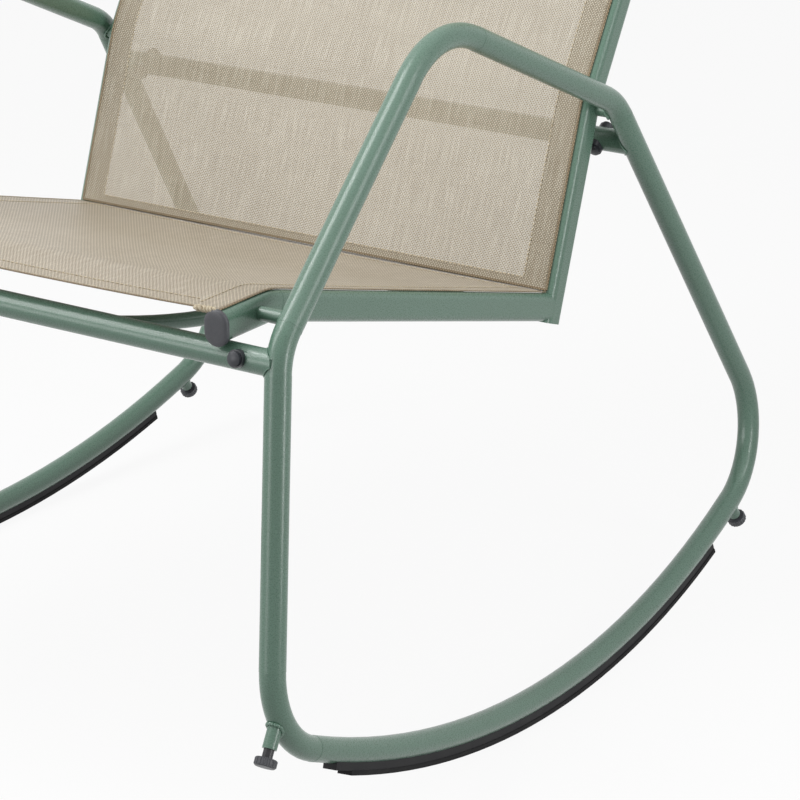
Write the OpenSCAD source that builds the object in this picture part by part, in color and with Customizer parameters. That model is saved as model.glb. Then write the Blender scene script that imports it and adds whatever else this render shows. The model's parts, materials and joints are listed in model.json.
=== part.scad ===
// Rocking armchair: two closed tube loops with long rocker arcs, joined by two bolted
// crossbars, carrying a seat and a back of stretched mesh on flat-oval rails.
// Millimetres. +Z up, the sitter faces -Y, X = 0 is the plane of symmetry.
// The origin is on the floor, midway between the points where the runners touch it.

/* [Side frames] */
// Outer diameter of the frame tube
tube_d = 20; // [18:0.5:24]
// Wall of the frame tube
tube_wall = 1.5; // [1:0.1:2.5]
// Radius of the rocker, to the tube's centreline
rocker_r = 856; // [780:2:1000]
// Distance between the two runners' centrelines at the floor
base_w = 658.6; // [560:0.2:760]
// Inward lean of each side frame, in degrees
lean_in = 6.3; // [0:0.1:9]
// Toe-in of each side frame towards the back, in degrees
toe_in = 1.4; // [0:0.1:3]
// Knee of the front leg: distance ahead of the floor contact
knee_y = 356.8; // [340:0.2:380]
// Knee of the front leg: height
knee_z = 403.4; // [370:0.2:430]
// Forward lean of the lower front leg, in degrees
leg_lean = 12.4; // [6:0.1:16]
// Front bend of the armrest: distance ahead of the floor contact
arm_front_y = 111.7; // [80:0.1:150]
// Front bend of the armrest: height
arm_front_z = 592.4; // [560:0.2:640]
// Rear bend of the armrest: distance behind the floor contact
arm_rear_y = 148.3; // [130:0.1:170]
// Rear bend of the armrest: height
arm_rear_z = 474.5; // [460:0.5:500]
// Slope of the rear leg below the horizontal, in degrees
rear_leg_slope = 57.1; // [52:0.1:62]
// Bend radius at the knee
knee_r = 52; // [36:1:80]
// Bend radius at the front of the armrest
arm_front_r = 95; // [60:1:120]
// Bend radius at the back of the armrest
arm_rear_r = 52; // [36:1:70]
// Bend radius between the rear leg and the rocker
rear_low_r = 73; // [55:1:90]
// Bend radius between the front leg and the rocker
front_low_r = 67; // [50:1:85]

/* [Runner strips] */
// Width of the rubber tread
tread_w = 13; // [10:0.5:16]
// Thickness of the rubber tread
tread_t = 3.6; // [2:0.1:6]
// Thickness of the carrier strip between tube and tread
carrier_t = 4.4; // [3:0.1:6]
// How much narrower the carrier is than the tread
carrier_inset = 1; // [0:0.1:2]
// Angle of the tread's front end on the rocker, in degrees
tread_front = 22.4; // [18:0.1:24]
// Angle of the tread's rear end on the rocker, in degrees
tread_rear = 17.1; // [12:0.1:18]
// How far the carrier shows ahead of the tread, in degrees
carrier_tab = 1.4; // [0.2:0.1:2]

/* [Crossbars] */
// Front crossbar: how far down the leg from the knee it meets the frame
front_bar_drop = 11; // [0:0.5:20]
// Rear crossbar: how far down the rear leg from the armrest's bend it meets the frame
rear_bar_drop = 49.8; // [40:0.2:70]
// Front stub: from the leg's centreline to the end of its collar
front_stub = 13; // [12.5:0.1:24]
// Rear stub: from the leg's centreline to the end of its collar
rear_stub = 16.4; // [13.5:0.1:26]
// Length of the spigot that slides into the crossbar
spigot_l = 34; // [26:1:50]
// Wall of the spigot
spigot_wall = 1.5; // [1:0.1:2]
// Clearance between spigot and crossbar, per side
spigot_gap = 0.1; // [0.05:0.05:0.3]
// Distance of the bolt from the end of the crossbar
bolt_inset = 16; // [12:0.5:20]
// Diameter of the crossbar bolts
bolt_d = 6; // [5:0.5:8]
// Clearance around the bolts, per side
bolt_gap = 0.25; // [0.1:0.05:0.5]
// Diameter of the domed bolt caps
cap_d = 13.5; // [11:0.5:16]
// Height of the domed bolt caps over the tube
cap_h = 6.4; // [5:0.1:8]

/* [Seat unit] */
// Height of the flat-oval rail section
rail_h = 24; // [20:0.5:30]
// Width of the flat-oval rail section
rail_t = 14; // [10:0.5:18]
// Wall of the rails
rail_wall = 1.2; // [1:0.1:2]
// Free gap between frame tube and rail at the rear bushes
bush_gap = 7.5; // [4:0.1:16]
// Seat rail: level front part, ahead of the front bush
rail_front = 41.6; // [30:0.2:50]
// Seat rail: level front part, behind the front bush
rail_flat = 19.4; // [15:0.2:40]
// Front bush: how far above the middle of the rail it sits
rail_bush_z = 0.6; // [-3:0.1:3]
// Bend radius of the seat rail
seat_bend_r = 60; // [40:1:90]
// Slope of the seat down to the back, in degrees
seat_pitch = 15.4; // [8:0.1:20]
// Sloping length of the seat rail up to the back rail's axis
seat_run = 412; // [380:1:440]
// Back rail: how far it runs down past the seat rail's axis
back_foot = 13.4; // [13.4:0.2:30]
// Back rail: length from the seat rail's axis up to its bend
back_low = 176; // [168:1:190]
// Back rail: how far its axis lies ahead of the rear bush
back_bush_y = 5.5; // [2:0.1:6]
// Back rail: length above the bend
back_high = 470; // [380:5:560]
// Lean of the upper back from the vertical, in degrees
back_lean = 31; // [24:0.5:38]
// Bend radius of the back rail
back_bend_r = 90; // [60:1:140]
// Diameter of the spreader tubes under the seat
spreader_d = 12; // [10:0.5:16]
// How deep the front spreader bows below the rails
spreader_bow = 49; // [20:1:60]
// Front spreader: distance behind the front end of the seat rails
spreader_in = 67.5; // [60:0.5:90]
// Front spreader: how far its ends lie below the middle of the rails
spreader_low = 2; // [0:0.5:5]
// Rear spreader: distance ahead of the back rails' axis
rear_spreader_in = 40; // [30:1:80]
// Diameter of the top tube of the back
top_d = 16; // [14:0.5:20]
// Top tube: distance below the ends of the back rails
top_in = 16; // [12:1:30]

/* [Slings] */
// Thickness of the mesh with its hems
sling_t = 1.2; // [0.8:0.1:2]
// How far the seat sling sags in the middle
seat_sag = 9; // [4:0.5:20]
// How far the back sling gives in the middle
back_sag = 6; // [3:0.5:15]
// How far the mesh wraps over the outer side of a rail
sling_wrap = 5; // [2:0.5:6]
// Clearance between mesh and rail
sling_gap = 0.1; // [0.05:0.05:0.3]

/* [Bushes] */
// Outer diameter of the spacer bushes
bush_d = 11; // [9:0.5:14]
// Front bush: distance up the slanted leg from the knee
bush_front_s = 30.6; // [24:0.2:40]
// Front bush: how far below the tube's centreline it is welded
bush_front_low = 7.5; // [0:0.1:8]
// Rear bush: distance down the rear leg from the armrest's bend
bush_rear_s = 8.2; // [6:0.2:20]
// Rear bush: how far ahead of the rear leg's centreline it is welded
bush_rear_low = 4; // [0:0.1:7]
// Diameter of the bolts in the bushes
bush_bolt_d = 6; // [5:0.5:7]

/* [Screw adjusters] */
// Tilt of each adjuster's axis from the vertical, in degrees
adj_tilt = 37; // [30:0.5:42]
// Front adjuster: place on the front lower bend, in degrees below the horizontal
adj_front_at = 17; // [12:0.5:22]
// Rear adjuster: place on the rocker, in degrees behind the floor contact
adj_rear_at = 20.4; // [19.6:0.1:20.6]
// Front adjuster: from the tube's centreline to the sleeve's end
sleeve_front = 26; // [24:0.1:32]
// Rear adjuster: from the tube's centreline to the sleeve's end
sleeve_rear = 19.3; // [18:0.1:26]
// Outer diameter of the welded sleeves
sleeve_d = 11; // [10:0.5:14]
// Diameter of the screw
stud_d = 8; // [6:0.5:9]
// Running clearance of the screw in its sleeve, per side
stud_gap = 0.05; // [0.02:0.01:0.1]
// Free length of the front screw between sleeve and knob
neck_front = 7; // [6.6:0.1:12]
// Free length of the rear screw between sleeve and knob
neck_rear = 2.8; // [2.8:0.1:6]
// Length of the screw inside the front sleeve
grip_front = 16; // [15:0.1:17]
// Length of the screw inside the rear sleeve
grip_rear = 12; // [11:0.1:13]
// Diameter of the fluted knobs
knob_d = 17; // [14:0.5:22]
// Thickness of the fluted knobs
knob_t = 6.5; // [5:0.5:10]
// Number of flutes round a knob
knob_flutes = 18; // [12:1:24]

/* [Hidden] */
$fn = 64;

green = "#657b6c";
cloth = "#c8c2b4";
black = "#1e1e20";
zinc = "#b9bcc0";

tube_r = tube_d / 2;
tube_ir = tube_r - tube_wall;
strip_t = carrier_t + tread_t;
// Centre of the rocker circle above the floor, in the plane of a side frame
rock_c = [0, rocker_r + tube_r + strip_t];
knee = [-knee_y, knee_z];
arm_f = [-arm_front_y, arm_front_z];
arm_b = [arm_rear_y, arm_rear_z];
leg_dir = [-sin(leg_lean), -cos(leg_lean)];
rear_dir = [cos(rear_leg_slope), -sin(rear_leg_slope)];

function unit(v) = v / norm(v);
function left_of(v) = [-v[1], v[0]];
function ang(v) = atan2(v[1], v[0]);
// Bend of radius r at corner v, between the runs from a and to b:
// [tangent point in, tangent point out, centre]
function bend(a, v, b, r) =
  let (i = unit(v - a), o = unit(b - v), turn = acos(i * o), t = r * tan(turn / 2),
       side = sign(i[0] * o[1] - i[1] * o[0]))
  [v - t * i, v + t * o, v - t * i + side * r * left_of(i)];
// Bend of radius r between a straight through v along d and the inside of the
// rocker circle; s = +1 or -1 is the side of the straight on which its centre lies
function low_bend(v, d, r, s) =
  let (n = s * left_of(d), q = v + n * r - rock_c, b = q * d,
       c = q * q - (rocker_r - r) * (rocker_r - r), t = -b + sqrt(b * b - c),
       m = v + n * r + t * d)
  [v + t * d, rock_c + rocker_r * unit(m - rock_c), m];

b_knee = bend(knee + 100 * leg_dir, knee, arm_f, knee_r);
b_armf = bend(knee, arm_f, arm_b, arm_front_r);
b_armb = bend(arm_f, arm_b, arm_b + 100 * rear_dir, arm_rear_r);
b_rear = low_bend(arm_b, rear_dir, rear_low_r, -1);
b_front = low_bend(knee, leg_dir, front_low_r, 1);

// Floor offset, so that the leaning treads' outer edges stand on Z = 0
floor_z = tread_w / 2 * sin(lean_in);
// A point of the side frame's plane, in the chair's own frame (right side)
function in_x(p) = base_w / 2 - p[0] * sin(toe_in) - p[1] * sin(lean_in) * cos(toe_in);
function in_y(p) = p[0] * cos(toe_in) - p[1] * sin(lean_in) * sin(toe_in);
function in_z(p) = floor_z + p[1] * cos(lean_in);

front_bar = knee + front_bar_drop * leg_dir;
rear_bar = arm_b + rear_bar_drop * rear_dir;
up_dir = unit(arm_f - knee);
bush_f = knee + bush_front_s * up_dir - bush_front_low * left_of(up_dir);
bush_b = arm_b + bush_rear_s * rear_dir - bush_rear_low * left_of(rear_dir);
// Middle plane of the rails, from the gap that the rear bush bridges
rail_x = in_x(bush_b) - tube_r / cos(lean_in) - bush_gap - rail_t / 2;

// Seat rail axis: level front part, then down to the back rail
seat_v = [in_y(bush_f) + rail_flat, in_z(bush_f) - rail_bush_z];
seat_p0 = seat_v - [rail_front + rail_flat, 0];
seat_dir = [cos(seat_pitch), -sin(seat_pitch)];
joint_p = seat_v + seat_run * seat_dir;
// Back rail axis: through the seat rail's end and past the rear bush, then its bend
back_ref = [in_y(bush_b) - back_bush_y, in_z(bush_b)];
low_dir = unit(back_ref - joint_p);
back_p0 = joint_p - back_foot * low_dir;
back_v = joint_p + back_low * low_dir;
high_dir = [sin(back_lean), cos(back_lean)];
back_p1 = back_v + back_high * high_dir;

// Straight runs lap into the bends by a little, and the bends are finer by a hair,
// as bent tube is, so that neighbouring pieces of a tube always join cleanly
lap = 0.3;
seam = 0.15;
// Clearance where one piece is shaped to lie against another
fit = 0.05;

// Tools

// Maps the drawing plane (x, y) to (Y, Z), and its z to X
module in_yz() rotate([90, 0, 90]) children();

// Places children, drawn in (Y, Z) with X across, in a side frame's leaning plane
module on_frame(side)
  scale_side(side) translate([base_w / 2, 0, floor_z]) rotate([0, 0, toe_in])
    rotate([0, -lean_in, 0]) in_yz() children();
module scale_side(side) { if (side > 0) children(); else mirror([1, 0, 0]) children(); }

// Straight run of a section from p to q, made longer by e at both ends
module run(p, q, e = 0)
  translate([p[0], p[1], 0]) rotate([0, 0, ang(q - p)]) rotate([90, 0, 90])
    translate([0, 0, -e]) linear_extrude(norm(q - p) + 2 * e) children();
// Bent run of a section about c, from p to q by the shorter way
module arc(c, p, q, e = 0) {
  a0 = ang(p - c);
  d = ((ang(q - c) - a0 + 540) % 360) - 180;
  de = e / norm(p - c) * 180 / PI;
  translate([c[0], c[1], 0]) rotate([0, 0, (d > 0 ? a0 : a0 + d) - de])
    rotate_extrude(angle = abs(d) + 2 * de, $fn = 180) translate([norm(p - c), 0]) children();
}
module oval(h, t) {
  square([h - t, t], center = true);
  for (s = [-1, 1]) translate([s * (h - t) / 2, 0]) circle(d = t);
}
// Cylinder along direction v from point p
module rod(p, v, r, l)
  translate(p) rotate([0, acos(v[2] / norm(v)), atan2(v[1], v[0])]) cylinder(r = r, h = l);

// Side frames

// Parts of the closed loop, so that only the needed ones are drawn for a cut
module low_front(r) arc(b_front[2], b_front[1], b_front[0]) circle(r - seam);
module low_rear(r) arc(b_rear[2], b_rear[0], b_rear[1]) circle(r - seam);
module rocker(r) arc(rock_c, b_rear[1], b_front[1], lap) circle(r);
module leg(r) run(b_front[0], b_knee[0], lap) circle(r);
module knee_bend(r) arc(b_knee[2], b_knee[0], b_knee[1]) circle(r - seam);
module upper_leg(r) run(b_knee[1], b_armf[0], lap) circle(r);
module arm_bend(r) arc(b_armf[2], b_armf[0], b_armf[1]) circle(r - seam);
module armrest(r) run(b_armf[1], b_armb[0], lap) circle(r);
module rear_bend(r) arc(b_armb[2], b_armb[0], b_armb[1]) circle(r - seam);
module rear_leg(r) run(b_armb[1], b_rear[0], lap) circle(r);
module loop(r) {
  rocker(r);
  low_front(r);
  leg(r);
  knee_bend(r);
  upper_leg(r);
  arm_bend(r);
  armrest(r);
  rear_bend(r);
  rear_leg(r);
  low_rear(r);
}
module side_frame(side) color(green) difference() {
  on_frame(side) difference() {
    loop(tube_r);
    loop(tube_ir);
  }
  // Vent holes under the stubs' collars
  for (p = [front_bar, rear_bar])
    translate([side * in_x(p), in_y(p), in_z(p)]) rotate([0, -side * 90, 0])
      cylinder(r = spigot_r - spigot_wall, h = tube_d);
  // Holes through which the screws reach into the tube
  on_axis(side, adj_f, adj_fv) cylinder(d = stud_d + 0.6, h = tube_d);
  on_axis(side, adj_r, adj_rv) cylinder(d = stud_d + 0.6, h = tube_d);
}

// Crossbars

spigot_r = tube_ir - spigot_gap;
front_end = in_x(front_bar) - front_stub;
rear_end = in_x(rear_bar) - rear_stub;
// Directions of the bolts: square to the legs, in (Y, Z)
front_bolt_v = [-cos(leg_lean), sin(leg_lean)];
rear_bolt_v = [sin(rear_leg_slope), cos(rear_leg_slope)];

module bolt_hole(p, x, v, r)
  rod([x, in_y(p), in_z(p)] - tube_d * [0, v[0], v[1]], [0, v[0], v[1]], r, 2 * tube_d);

module stub(side, p, end, len, v) color(green) difference() {
  translate([side * end, in_y(p), in_z(p)]) rotate([0, side * 90, 0]) union() {
    cylinder(r = tube_r, h = len);
    translate([0, 0, -spigot_l]) cylinder(r = spigot_r, h = spigot_l + 1);
  }
  translate([side * end, in_y(p), in_z(p)]) rotate([0, side * 90, 0])
    translate([0, 0, -spigot_l - 1])
      cylinder(r = spigot_r - spigot_wall, h = spigot_l + len + 2);
  on_frame(side) if (p[0] < 0) {
    knee_bend(tube_r + fit);
    leg(tube_r + fit);
  } else rear_leg(tube_r + fit);
  bolt_hole(p, side * (end - bolt_inset), v, bolt_d / 2 + bolt_gap);
}

module crossbar(p, end, v) color(green) difference() {
  translate([-end, in_y(p), in_z(p)]) rotate([0, 90, 0]) difference() {
    cylinder(r = tube_r, h = 2 * end);
    translate([0, 0, -1]) cylinder(r = tube_ir, h = 2 * end + 2);
  }
  for (s = [-1, 1]) bolt_hole(p, s * (end - bolt_inset), v, bolt_d / 2 + bolt_gap);
}

// Bolt through crossbar and spigot, with a flat head and a nut on the tube's surface
head_h = 3.4;
module crossbar_bolt(side, p, end, v) color(zinc)
  translate([side * (end - bolt_inset), in_y(p), in_z(p)])
    rotate([0, 0, v[0] < 0 ? 0 : 180]) rotate([90 - abs(asin(v[1])), 0, 0]) union() {
      translate([0, 0, -tube_r - head_h]) cylinder(d = bolt_d, h = tube_d + 2 * head_h);
      for (s = [0, 1]) mirror([0, 0, s]) translate([0, 0, tube_r])
        cylinder(d = bolt_d * 1.6, h = head_h, $fn = 6);
    }

// Two-step domed cap over a bolt head
module bolt_cap(side, p, end, v, s) color(black)
  translate([side * (end - bolt_inset), in_y(p), in_z(p)])
    rotate([0, 0, v[0] < 0 ? 0 : 180]) rotate([90 - abs(asin(v[1])), 0, 0])
      mirror([0, 0, s]) difference() {
        rotate_extrude() {
          square([cap_d / 2, tube_r + cap_h * 0.45]);
          square([cap_d * 0.4, tube_r + cap_h * 0.7]);
          intersection() {
            translate([0, tube_r + cap_h - cap_d * 0.9]) circle(cap_d * 0.9);
            square([cap_d * 0.4, tube_r + cap_h]);
          }
        }
        cylinder(d = bolt_d * 1.6 + 0.6, h = tube_r + head_h + 0.3);
        rotate([0, 90, 0]) cylinder(r = tube_r, h = 2 * cap_d, center = true);
      }

// Seat unit

b_seat = bend(seat_p0, seat_v, joint_p, seat_bend_r);
b_back = bend(back_p0, back_v, back_p1, back_bend_r);

// Rail from p over bend b to q, with a section that is smaller by w all round
module rail(p, b, q, w) {
  run(p, b[0], lap) oval(rail_h - 2 * w, rail_t - 2 * w);
  arc(b[2], b[0], b[1]) oval(rail_h - 2 * (w + seam), rail_t - 2 * (w + seam));
  run(b[1], q, lap) oval(rail_h - 2 * w, rail_t - 2 * w);
}
module seat_rail(side) color(green) difference() {
  translate([side * rail_x, 0, 0]) in_yz() difference() {
    rail(seat_p0 + [lap, 0], b_seat, joint_p, 0);
    rail(seat_p0 - [lap, 0], b_seat, joint_p + 2 * seat_dir, rail_wall);
    // Fish-mouth against the rounded front of the back rail
    run(joint_p - 60 * low_dir, joint_p + 60 * low_dir) {
      translate([(rail_h - rail_t) / 2, 0]) circle(d = rail_t + 2 * fit);
      translate([(rail_h - rail_t) / 2 - 80, -rail_t]) square([80, 2 * rail_t]);
    }
  }
  bush_bore(side, bush_f);
}
module back_rail(side) color(green) difference() {
  translate([side * rail_x, 0, 0]) in_yz() difference() {
    rail(back_p0 + lap * low_dir, b_back, back_p1 - lap * high_dir, 0);
    rail(back_p0 + (rail_wall + lap) * low_dir, b_back, back_p1 + high_dir, rail_wall);
  }
  bush_bore(side, bush_b);
}
module bush_bore(side, p)
  translate([side * (rail_x - rail_t), in_y(p), in_z(p)]) rotate([0, side * 90, 0])
    cylinder(d = bush_bolt_d + 0.4, h = 2 * rail_t);

// Oval end plug: a flange over the rail's end and a tongue inside it
module plug(p, d) in_yz() {
  run(p - 3.2 * d, p) oval(rail_h + 4, rail_t + 4);
  run(p - 4.2 * d, p) oval(rail_h + 2, rail_t + 2);
  run(p - d, p + 12 * d) oval(rail_h - 2 * rail_wall - 0.2, rail_t - 2 * rail_wall - 0.2);
}
module seat_plug(side) color(black) translate([side * rail_x, 0, 0]) plug(seat_p0, [1, 0]);
module back_plug(side) color(black) translate([side * rail_x, 0, 0]) plug(back_p1, -high_dir);

inner_x = rail_x - rail_t / 2;
// Bowed tube between the seat rails, low in the middle
module front_spreader() color(green) {
  rr = (inner_x * inner_x + spreader_bow * spreader_bow) / (2 * spreader_bow);
  half = asin(inner_x / rr);
  y = seat_p0[0] + spreader_in;
  z = seat_p0[1] - spreader_low - spreader_bow + rr;
  intersection() {
    translate([0, y, z]) rotate([90, 0, 0]) rotate([0, 0, 270 - half - 2]) difference() {
      rotate_extrude(angle = 2 * half + 4, $fn = 180) translate([rr, 0]) circle(d = spreader_d);
      rotate_extrude(angle = 2 * half + 4, $fn = 180) translate([rr, 0])
        circle(d = spreader_d - 2.4);
    }
    translate([-inner_x, y - 30, 0]) cube([2 * inner_x, 60, 2 * seat_p0[1]]);
  }
}
module cross_tube(p, d) translate([-inner_x, p[0], p[1]]) rotate([0, 90, 0]) difference() {
  cylinder(d = d, h = 2 * inner_x);
  translate([0, 0, -1]) cylinder(d = d - 2.4, h = 2 * inner_x + 2);
}
module rear_spreader() color(green)
  cross_tube(joint_p - rear_spreader_in * seat_dir - [0, 4], spreader_d);
module top_tube() color(green) cross_tube(back_p1 - top_in * high_dir, top_d);

// Slings

// Points along a bent path, with the unit normal on the side s: [y, z, ny, nz, k]
function along(p0, b, p1, n0, na, n1) =
  let (d0 = unit(b[0] - p0), d1 = unit(p1 - b[1]), m = (b[0] + b[1]) / 2 - b[2],
       a0 = ang(b[0] - b[2]), da = ((ang(b[1] - b[2]) - a0 + 540) % 360) - 180,
       r = norm(b[0] - b[2]))
  concat(
    [for (i = [0 : n0 - 1]) let (p = p0 + (b[0] - p0) * i / n0) [p, left_of(d0)]],
    [for (i = [0 : na]) let (a = a0 + da * i / na, e = [cos(a), sin(a)])
      [b[2] + r * e, -sign(da) * e]],
    [for (i = [1 : n1]) let (p = b[1] + (p1 - b[1]) * i / n1) [p, left_of(d1)]]);

// Places across the width: the wrapped edges, then the free span
function cross_x() = concat(
  [for (k = [1, 0.7, 0.38]) -rail_x - sling_wrap * k],
  [for (i = [0 : 14]) -rail_x + 2 * rail_x * i / 14],
  [for (k = [0.38, 0.7, 1]) rail_x + sling_wrap * k]);
// How far the mesh lies below the rail's crest at x, for the middle sag g
function dip(x, g) =
  let (r = rail_t / 2 + sling_gap, d = abs(x) - rail_x, u = min(1, abs(x) / rail_x))
  d > 0 ? r - sqrt(r * r - d * d) : g * (1 - u * u) * (1 + 0.25 * u * u);
// Closed sheet of thickness sling_t over the path, s = side of its outer face;
// its sag is a share of the full one at either end
module sheet(path, s, sag, from, to) {
  xs = cross_x();
  m = len(xs);
  n = len(path);
  function g(i) = let (u = i / (n - 1), e = from + (to - from) * u)
    sag * (e + (1 - e) * sin(180 * u));
  function at(i, j, h) =
    let (o = rail_h / 2 + sling_gap + h - dip(xs[j], g(i)), q = path[i][0] + s * o * path[i][1])
    [xs[j], q[0], q[1]];
  pts = concat([for (i = [0 : n - 1], j = [0 : m - 1]) at(i, j, sling_t)],
               [for (i = [0 : n - 1], j = [0 : m - 1]) at(i, j, 0)]);
  k = n * m;
  function quad(a, b, c, d) = [[a, b, c], [a, c, d]];
  faces = [
    for (i = [0 : n - 2], j = [0 : m - 2]) let (a = i * m + j)
      each quad(a, a + m, a + m + 1, a + 1),
    for (i = [0 : n - 2], j = [0 : m - 2]) let (a = k + i * m + j)
      each quad(a, a + 1, a + m + 1, a + m),
    for (i = [0 : n - 2]) let (a = i * m) each quad(a, a + k, a + k + m, a + m),
    for (i = [0 : n - 2]) let (a = i * m + m - 1) each quad(a, a + m, a + m + k, a + k),
    for (j = [0 : m - 2]) each quad(j, j + 1, j + 1 + k, j + k),
    for (j = [0 : m - 2]) let (a = (n - 1) * m + j) each quad(a, a + k, a + k + 1, a + 1)];
  polyhedron(pts, [for (f = faces) s > 0 ? f : [f[2], f[1], f[0]]], convexity = 4);
}
// The seat mesh ends just ahead of the back mesh
seat_end = joint_p - (rail_h / 2 + 0.6) * seat_dir;
// The back mesh starts above the seat mesh and ends on the top tube
back_start = joint_p + (rail_h / 2 + sling_t + 1.5) * low_dir;
back_end = back_p1 - (top_in - top_d / 2) * high_dir;
module seat_sling() color(cloth)
  sheet(along(seat_p0 + [0.3, 0], b_seat, seat_end, 4, 5, 14), 1, seat_sag, 0.45, 0.1);
module back_sling() color(cloth)
  sheet(along(back_start, b_back, back_end, 6, 5, 16), 1, back_sag, 0.1, 0.3);

// Bushes

// Welded spacer bush from the rail's side to the frame tube, with its bolt's head
// on the inner side of the rail
module bush(side, p) color(green) difference() {
  translate([side * (rail_x + rail_t / 2), in_y(p), in_z(p)]) rotate([0, side * 90, 0])
    cylinder(d = bush_d, h = in_x(p) - rail_x - rail_t / 2 - tube_r / 2);
  translate([side * rail_x, in_y(p), in_z(p)]) rotate([0, side * 90, 0])
    cylinder(d = bush_bolt_d + 0.1, h = len_in(p));
  on_frame(side) if (p[0] < 0) {
    knee_bend(tube_r);
    upper_leg(tube_r);
  } else {
    rear_bend(tube_r);
    rear_leg(tube_r);
  }
}
// From the rail's middle plane to the end of the bush's threaded hole
function len_in(p) = in_x(p) - rail_x - tube_r / cos(lean_in) - 1.5;
// Button-headed bolt from the inner side of the rail into the bush
module bush_bolt(side, p) color(zinc)
  translate([side * (rail_x - rail_t / 2), in_y(p), in_z(p)]) rotate([0, side * 90, 0])
    union() {
      cylinder(d = bush_bolt_d, h = rail_t / 2 + len_in(p) - 0.4);
      rotate_extrude() intersection() {
        translate([0, bush_bolt_d * 0.9 - head_h]) circle(bush_bolt_d * 0.9);
        translate([0, -head_h]) square([bush_bolt_d * 0.8, head_h]);
      }
    }

// Runner strips

// Ring sector under the rocker: from angle a (behind) to b (ahead), radii r0 to r1
module under_rocker(side, a, b, r0, r1, w) on_frame(side) translate([0, rock_c[1], 0])
  rotate([0, 0, 270 - b]) rotate_extrude(angle = a + b, $fn = 180)
    translate([r0, -w / 2]) square([r1 - r0, w]);
carrier_w = tread_w - carrier_inset;
module carrier(side) color(black) difference() {
  under_rocker(side, tread_rear, tread_front + carrier_tab,
    rocker_r + tube_r - 2.2, rocker_r + tube_r + carrier_t, carrier_w);
  on_frame(side) rocker(tube_r + fit);
}
module tread(side) color("#242426") under_rocker(side, tread_rear, tread_front,
  rocker_r + tube_r + carrier_t, rocker_r + tube_r + strip_t, tread_w);

// Screw adjusters

// Anchors on the tube's centreline and axes pointing away from it, in (Y, Z)
adj_f = b_front[2] + front_low_r * [-cos(adj_front_at), -sin(adj_front_at)];
adj_r = rock_c + rocker_r * [sin(adj_rear_at), -cos(adj_rear_at)];
adj_fv = [-sin(adj_tilt), -cos(adj_tilt)];
adj_rv = [sin(adj_tilt), -cos(adj_tilt)];

// Along an adjuster's axis, 0 at the tube's centreline
module on_axis(side, p, v) on_frame(side)
  translate([p[0], p[1], 0]) rotate([0, 0, ang(v)]) rotate([0, 90, 0]) children();

module sleeve(side, p, v, end) color(green) difference() {
  on_axis(side, p, v) difference() {
    cylinder(d = sleeve_d, h = end);
    cylinder(r = stud_d / 2 + stud_gap, h = end + 1);
  }
  on_frame(side) if (p[0] < 0) low_front(tube_r); else {
    rocker(tube_r);
    low_rear(tube_r);
  }
}
pivot_r = 2.5;
module stud(side, p, v, end, neck, grip) color(black) on_axis(side, p, v) union() {
  translate([0, 0, end - grip]) cylinder(d = stud_d, h = grip + neck - 0.3);
  translate([0, 0, end]) cylinder(r = pivot_r, h = neck + knob_t - 2);
}
module knob(side, p, v, end, neck) color(black) on_axis(side, p, v)
  translate([0, 0, end + neck]) difference() {
    rotate_extrude() polygon([[0, 0], [knob_d / 2 - 0.8, 0], [knob_d / 2, 0.8],
      [knob_d / 2, knob_t - 1.2], [knob_d / 2 - 1.2, knob_t], [0, knob_t]]);
    translate([0, 0, -1]) cylinder(r = pivot_r + stud_gap, h = knob_t);
    for (i = [0 : knob_flutes - 1]) rotate([0, 0, i * 360 / knob_flutes])
      translate([knob_d / 2 + 0.5, 0, -1]) cylinder(r = 1.2, h = knob_t + 2, $fn = 24);
  }

// Everything

side_frame(1);  // side_frame_right
side_frame(-1);  // side_frame_left
stub(1, front_bar, front_end, front_stub, front_bolt_v);  // front_stub_right
stub(-1, front_bar, front_end, front_stub, front_bolt_v);  // front_stub_left
stub(1, rear_bar, rear_end, rear_stub, rear_bolt_v);  // rear_stub_right
stub(-1, rear_bar, rear_end, rear_stub, rear_bolt_v);  // rear_stub_left
crossbar(front_bar, front_end, front_bolt_v);  // front_crossbar
crossbar(rear_bar, rear_end, rear_bolt_v);  // rear_crossbar
crossbar_bolt(1, front_bar, front_end, front_bolt_v);  // front_bolt_right
crossbar_bolt(-1, front_bar, front_end, front_bolt_v);  // front_bolt_left
crossbar_bolt(1, rear_bar, rear_end, rear_bolt_v);  // rear_bolt_right
crossbar_bolt(-1, rear_bar, rear_end, rear_bolt_v);  // rear_bolt_left
bolt_cap(1, front_bar, front_end, front_bolt_v, 0);  // front_cap_right
bolt_cap(-1, front_bar, front_end, front_bolt_v, 0);  // front_cap_left
bolt_cap(1, front_bar, front_end, front_bolt_v, 1);  // front_cap_back_right
bolt_cap(-1, front_bar, front_end, front_bolt_v, 1);  // front_cap_back_left
bolt_cap(1, rear_bar, rear_end, rear_bolt_v, 0);  // rear_cap_right
bolt_cap(-1, rear_bar, rear_end, rear_bolt_v, 0);  // rear_cap_left
bolt_cap(1, rear_bar, rear_end, rear_bolt_v, 1);  // rear_cap_back_right
bolt_cap(-1, rear_bar, rear_end, rear_bolt_v, 1);  // rear_cap_back_left
seat_rail(1);  // seat_rail_right
seat_rail(-1);  // seat_rail_left
seat_plug(1);  // seat_plug_right
seat_plug(-1);  // seat_plug_left
back_rail(1);  // back_rail_right
back_rail(-1);  // back_rail_left
back_plug(1);  // back_plug_right
back_plug(-1);  // back_plug_left
front_spreader();
rear_spreader();
top_tube();
seat_sling();
back_sling();
bush(1, bush_f);  // front_bush_right
bush(-1, bush_f);  // front_bush_left
bush(1, bush_b);  // rear_bush_right
bush(-1, bush_b);  // rear_bush_left
bush_bolt(1, bush_f);  // front_bush_bolt_right
bush_bolt(-1, bush_f);  // front_bush_bolt_left
bush_bolt(1, bush_b);  // rear_bush_bolt_right
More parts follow.
